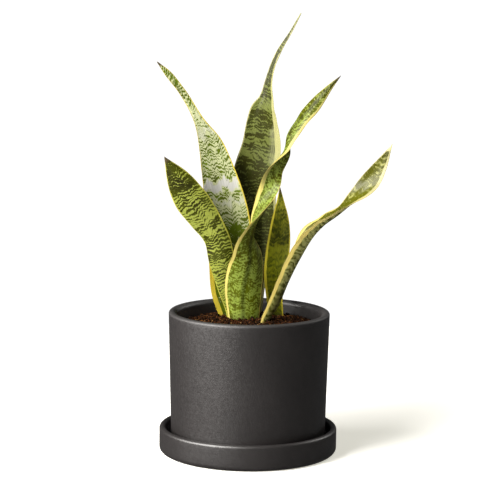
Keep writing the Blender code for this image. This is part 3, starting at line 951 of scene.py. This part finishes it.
# ---- Tall left leaf: the palest blade, its grey-cream inner face to the front, drawn out to a long tip.
# It grows from the left side of the stem, behind the left leaf.
TALL_LEFT_ROWS = [
    (-13.5, 24, 4, 11.7, 0, -0.3),
    (-17, 24, 24, 14.5, 0, -0.28),
    (-16.5, 24, 47, 17, 0, -0.26),
    (-17.5, 22, 77, 18, -3, -0.24),
    (-21.5, 21, 101, 16.6, -7, -0.22),
    (-26.5, 19, 122.5, 13.7, -8, -0.2),
    (-33, 16, 145, 9.8, -6, -0.18),
    (-41.5, 13, 162.5, 4.6, -8, -0.16),
    (-56.5, 10, 188, 2.9, -6, -0.14),
    (-67.3, 8, 201.5, 2.6, -2, -0.12),
    (-75.2, 7, 210, 0.5, 0, -0.1),
]
TALL_LEFT_MARKS = [
    (0, 0.1, 0.3, 3.4, 1.0),
    (38, 0.15, 0.3, 3.4, 1.0),
    (48, 0.12, 0.3, 1.0, 1.0),
    (75, 0.14, 0.3, 0.5, 1.0),
    (78, 0.5, 0.5, 0.4, 1.0),
    (81, 0.45, 0.5, 0.4, 1.0),
    (84, 0.58, 0.42, 0.4, 1.0),
    (91, 0.62, 0.42, 0.4, 1.0),
    (94.5, 0.82, 0.7, 0.4, 1.0),
    (98, 0.85, 0.7, 0.4, 0.9),
    (100, 0.44, 0.35, 0.4, 0.9),
    (104, 0.44, 0.35, 0.4, 0.9),
    (107, 0.94, 0.8, 0.4, 0.9),
    (114, 0.94, 0.8, 0.4, 0.9),
    (116.5, 0.36, 0.42, 0.4, 0.8),
    (121, 0.5, 0.48, 0.4, 0.8),
    (126, 0.58, 0.5, 0.4, 0.8),
    (140, 0.56, 0.5, 0.4, 0.8),
    (146, 0.44, 0.5, 0.4, 0.7),
    (149, 0.6, 0.6, 0.4, 0.7),
    (153, 0.82, 0.7, 0.4, 0.7),
    (160, 0.72, 0.68, 0.4, 0.7),
    (169, 0.75, 0.68, 0.4, 0.6),
    (176, 0.6, 0.5, 0.4, 0.6),
    (186, 0.38, 0.5, 0.3, 0.4),
    (196, 0.38, 0.5, 0.3, 0.35),
    (205, 0.45, 0.6, 0.2, 0.25),
    (210, 0.3, 0.4, 0.1, 0.1),
]
tall_left = leaf("tall_left_leaf", TALL_LEFT_ROWS, TALL_LEFT_MARKS, 13)
tall_left_skin = leaf_skin(
    "tall_left_skin",
    dark=(0.0699, 0.1042, 0.0018),
    deep=(0.0416, 0.0554, 0.0020),
    pale=(0.2976, 0.3181, 0.1704),
    frost=(0.3223, 0.3212, 0.3029),
    edge=(0.34, 0.29, 0.035),
    seed=9.1,
    pitch=3.0,
    jag=0.6,
    broken=0.65,
    soft=0.25,
    lines=0.5,
    young=0.1,
    gold=0.4,
)
planted(tall_left, tall_left_skin, "leaf_tall_left")


# ---- Tallest leaf: a broad, dark blade with a wide cream right edge and a thin neck under its tip.
# It grows from the back of the stem, and stands behind all the others.
TALLEST_ROWS = [
    (2, 33, 3, 8.3, 0, -0.3),
    (2, 34, 28, 11, 0, -0.28),
    (3, 34, 57, 14.2, 0, -0.26),
    (3.5, 33, 87, 17, -3, -0.25),
    (3, 31, 117, 18, -10, -0.24),
    (8.3, 29, 142, 16.8, -20, -0.22),
    (8.6, 27, 163, 13.2, -22, -0.2),
    (9.2, 26, 171, 11.4, -26, -0.2),
    (11.5, 25, 180, 7.4, -33, -0.2),
    (13.2, 24, 194, 4.4, -45, -0.2),
    (19.8, 22, 216, 2.7, -50, -0.18),
    (31.2, 19, 236, 1.3, -45, -0.15),
    (38.2, 17, 249.5, 0.5, -40, -0.1),
]
TALLEST_MARKS = [
    (0, 0.3, 0.3, 1.0, 1.5),
    (60, 0.38, 0.3, 1.0, 1.5),
    (90, 0.38, 0.3, 0.9, 1.6),
    (116, 0.36, 0.3, 0.8, 2.4),
    (123, 0.34, 0.3, 0.8, 3.2),
    (129, 0.3, 0.3, 0.8, 4.2),
    (131, 0.68, 0.5, 0.8, 4.8),
    (137, 0.68, 0.5, 0.8, 5.2),
    (139, 0.28, 0.3, 0.8, 5.2),
    (142, 0.3, 0.3, 0.8, 5.2),
    (144, 0.68, 0.5, 0.7, 5.2),
    (149, 0.66, 0.5, 0.7, 5.2),
    (150, 0.12, 0.3, 0.7, 5.0),
    (151.5, 0.12, 0.3, 0.7, 5.0),
    (152.5, 0.66, 0.5, 0.7, 4.8),
    (155.5, 0.6, 0.5, 0.7, 4.6),
    (157, 0.34, 0.4, 0.7, 4.2),
    (170, 0.38, 0.4, 0.7, 3.2),
    (172.5, 0.74, 0.6, 0.7, 2.6),
    (180, 0.66, 0.6, 0.6, 2.2),
    (183, 0.34, 0.4, 0.6, 1.7),
    (200, 0.3, 0.5, 0.5, 1.2),
    (216, 0.3, 0.5, 0.4, 0.8),
    (236, 0.4, 0.4, 0.3, 0.4),
    (250, 0.5, 0.4, 0.1, 0.1),
]
tallest = leaf("tallest_leaf", TALLEST_ROWS, TALLEST_MARKS, 14, ragged=0.35)
tallest_skin = leaf_skin(
    "tallest_skin",
    dark=(0.0245, 0.0287, 0.0002),
    deep=(0.0218, 0.0222, 0.0003),
    pale=(0.0883, 0.1034, 0.0201),
    frost=(0.1664, 0.1698, 0.0831),
    edge=(0.2679, 0.2628, 0.1066),
    seed=13.4,
    pitch=3.0,
    jag=0.24,
    broken=0.6,
    soft=0.22,
    coat=0.05,
    # Beside paints a gloss highlight as a pale strip along the wide cream right edge.
    beside=0.75,
    dry_tip=(0.25, 0.25, 0.1),
    lines=0.34,
    young=0.12,
)
planted(tallest, tallest_skin, "leaf_tallest")


# ---- Back leaf: a short, upright, young blade, more yellow than the others.
# It is the newest, at the far end of the stem, on the right.
BACK_ROWS = [
    (22, 26, 3, 5.9, 0, -0.25),
    (20.5, 27, 18.5, 6.8, 0, -0.24),
    (20.5, 27, 34, 8.7, 0, -0.23),
    (22.5, 27, 54, 9.7, 0, -0.22),
    (24, 26, 70, 8.8, 0, -0.2),
    (24.5, 26, 84.5, 6.6, 0, -0.18),
    (24.3, 25, 97, 3.3, 0, -0.15),
    (23.8, 24, 108.5, 0.4, 0, -0.1),
]
BACK_MARKS = [
    (0, 0.45, 0.4, 0.8, 0.8),
    (20, 0.55, 0.5, 1.8, 0.8),
    (32, 0.45, 0.5, 1.8, 0.8),
    (46, 0.48, 0.5, 1.8, 0.8),
    (50, 0.68, 0.5, 1.6, 0.8),
    (60, 0.64, 0.5, 1.5, 0.8),
    (65, 0.36, 0.4, 1.5, 0.8),
    (78, 0.36, 0.4, 1.4, 0.7),
    (84, 0.45, 0.5, 1.3, 0.7),
    (97, 0.5, 0.5, 0.9, 0.5),
    (108.5, 0.3, 0.3, 0.2, 0.2),
]
back = leaf("back_leaf", BACK_ROWS, BACK_MARKS, 15)
back_skin = leaf_skin(
    "back_skin",
    dark=(0.0450, 0.0554, 0.0001),
    deep=(0.0264, 0.0318, 0.0001),
    pale=(0.1386, 0.1515, 0.0027),
    frost=(0.1848, 0.1848, 0.0396),
    edge=(0.3511, 0.3188, 0.0297),
    seed=17.9,
    pitch=5.0,
    jag=0.4,
    soft=0.7,
    broken=0.7,
    lines=0.25,
    young=0.3,
    gold=0.3,
)
planted(back, back_skin, "leaf_back")


# ---- Right leaf: a narrow blade folded like a gutter, edge on at first, and open at its end.
# It grows from the front end of the stem, and leans out over the planter's lip.
RIGHT_ROWS = [
    (11.5, 0, 4, 5.9, 70, 0.55),
    (18, 0, 19, 8, 69, 0.6),
    (24, 0, 37, 8.8, 76, 0.7),
    (31.8, -1, 57.5, 9.2, 78, 0.86),
    (41.6, -3, 76.6, 10, 87, 0.88),
    (54, -5, 87, 9.2, 80, 0.66),
    (69, -7, 95.5, 7.9, 86, 0.42),
    (80.8, -8, 105.5, 7.8, 114, 0.3),
    (94, -10, 117.8, 8.6, 143, 0.22),
    (102.3, -12, 131, 5.6, 160, 0.2),
    (111, -14, 148.4, 0.3, 157, 0.1),
]
RIGHT_MARKS = [
    (0, 0.56, 0.3, 1.2, 1.0),
    (20, 0.56, 0.3, 1.6, 1.0),
    (75, 0.54, 0.15, 1.8, 1.4),
    (90, 0.5, 0.1, 1.6, 0.8),
    (100, 0.45, 0.12, 1.8, 0.5),
    (110, 0.3, 0.2, 2.4, 0.4),
    (120, 0.3, 0.2, 3.0, 0.4),
    (131, 0.3, 0.2, 2.6, 0.4),
    (138, 0.2, 0.2, 1.6, 0.5),
    (142, 0.3, 0.3, 1.2, 0.8),
    (144, 0.7, 0.7, 2.0, 2.0),
    (148.4, 0.7, 0.7, 0.5, 0.5),
]
right = leaf("right_leaf", RIGHT_ROWS, RIGHT_MARKS, 16, ragged=0.5)
right_skin = leaf_skin(
    "right_skin",
    dark=(0.0714, 0.0741, 0.0016),
    deep=(0.0475, 0.0483, 0.0010),
    pale=(0.2803, 0.2845, 0.0846),
    frost=(0.3604, 0.3687, 0.1980),
    edge=(0.2940, 0.2768, 0.1271),
    seed=23.3,
    pitch=5.0,
    jag=0.35,
    broken=0.55,
    soft=0.6,
    gloss=0.34,
    coat=0.12,
    dry_tip=(0.5, 0.47, 0.2),
    lines=0.42,
    young=0.2,
    gold=1.0,
)
planted(right, right_skin, "leaf_right")


# ---- Studio: a sheet of white paper on the floor, pale walls, and three soft lamps aimed at the plant.
# A small one hangs high at the left front, a wide one low at the left, and a weak one behind at the right.
AIMED_AT = (0.0, 0.0, 0.15)
PAPER_WIDE = 1.1
PAPER_FRONT = -0.8
PAPER_BACK = 0.55
PAPER_DROP = 0.2 * MM
PAPER_GLOW = 0.52
ROOM_LIGHT = 0.07
ROOM_SEEN = 1.1


def softbox(name, turn, height, far, wide, tall, watts, colour):
    """A soft lamp aimed at the middle of the plant. Turn 0 is the camera's side."""
    lamp = bpy.data.lights.new(name, "AREA")
    lamp.shape = "RECTANGLE"
    lamp.size = wide
    lamp.size_y = tall
    lamp.energy = watts
    lamp.color = colour
    hung = in_scene(name, lamp)
    a, e = math.radians(turn), math.radians(height)
    away = Vector((math.sin(a) * math.cos(e), -math.cos(a) * math.cos(e), math.sin(e)))
    hung.location = Vector(AIMED_AT) + away * far
    hung.rotation_euler = away.to_track_quat("Z", "Y").to_euler()


softbox("key_light", turn=-45, height=41, far=1.9, wide=0.5, tall=0.6, watts=34, colour=(1.0, 0.975, 0.92))
softbox("low_light", turn=-59, height=18.5, far=1.7, wide=2.0, tall=0.9, watts=90, colour=(1.0, 0.965, 0.93))
softbox("back_light", turn=121, height=30, far=1.8, wide=0.3, tall=0.9, watts=8, colour=(1.0, 0.98, 0.94))

half_wide = PAPER_WIDE / 2
front_corners = [(-half_wide, PAPER_FRONT, 0), (half_wide, PAPER_FRONT, 0)]
paper_corners = front_corners + [(half_wide, PAPER_BACK, 0), (-half_wide, PAPER_BACK, 0)]
floor = meshed("floor", paper_corners, [(0, 1, 2, 3)])
floor.location.z = -PAPER_DROP
floor.visible_glossy = False
paper, paper_tree, paper_shader = fresh_material("paper")
paper_shader.inputs["Base Color"].default_value = (0.8, 0.8, 0.8, 1.0)
paper_shader.inputs["Roughness"].default_value = 1.0
paper_shader.inputs["Specular IOR Level"].default_value = 0.0
paper_shader.inputs["Emission Color"].default_value = (1.0, 0.98, 0.85, 1.0)
seen = node(paper_tree, "ShaderNodeLightPath").outputs["Is Camera Ray"]
glow = maths(paper_tree, "MULTIPLY", seen, PAPER_GLOW)
paper_tree.links.new(glow, paper_shader.inputs["Emission Strength"])
floor.data.materials.append(paper)

world = bpy.data.worlds.new("studio")
bpy.context.scene.world = world
world.use_nodes = True
walls = world.node_tree.nodes["Background"]
walls.inputs["Color"].default_value = (1.0, 1.0, 1.0, 1.0)
seen = node(world.node_tree, "ShaderNodeLightPath").outputs["Is Camera Ray"]
strength = ranged(world.node_tree, seen, 0.0, 1.0, ROOM_LIGHT, ROOM_SEEN)
world.node_tree.links.new(strength, walls.inputs["Strength"])
bpy.context.scene.view_settings.view_transform = "Standard"
